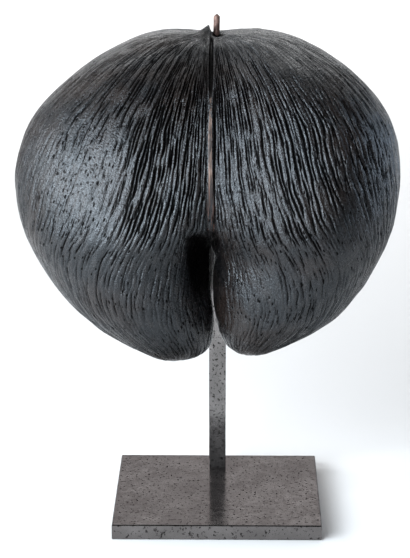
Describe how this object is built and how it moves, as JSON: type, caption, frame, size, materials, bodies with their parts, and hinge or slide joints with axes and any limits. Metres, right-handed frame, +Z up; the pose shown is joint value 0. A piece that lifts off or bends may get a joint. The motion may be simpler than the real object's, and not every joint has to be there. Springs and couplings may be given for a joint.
{
  "type": "coco de mer nut on a stand",
  "caption": "Two-lobed furrowed coco de mer nut carried on a rod above a square steel base plate by a square post and a short arm.",
  "frame": {"origin": "centre of the base plate's underside", "axes": "+Z up along the post, -Y towards the front of the nut, where the post stands behind, +X to the right seen from the front"},
  "size_m": [0.2936, 0.1911, 0.3871],
  "materials": {
    "nut_shell": "satin",
    "dark_steel": "satin",
    "screw_steel": "satin",
    "rusty_iron": "matte"
  },
  "bodies": {
    "root": {"coco_de_mer": "nut_shell", "base_plate": "dark_steel", "post": "dark_steel", "post_screw": "screw_steel", "arm": "dark_steel", "rod": "rusty_iron"}
  },
  "joints": []
}
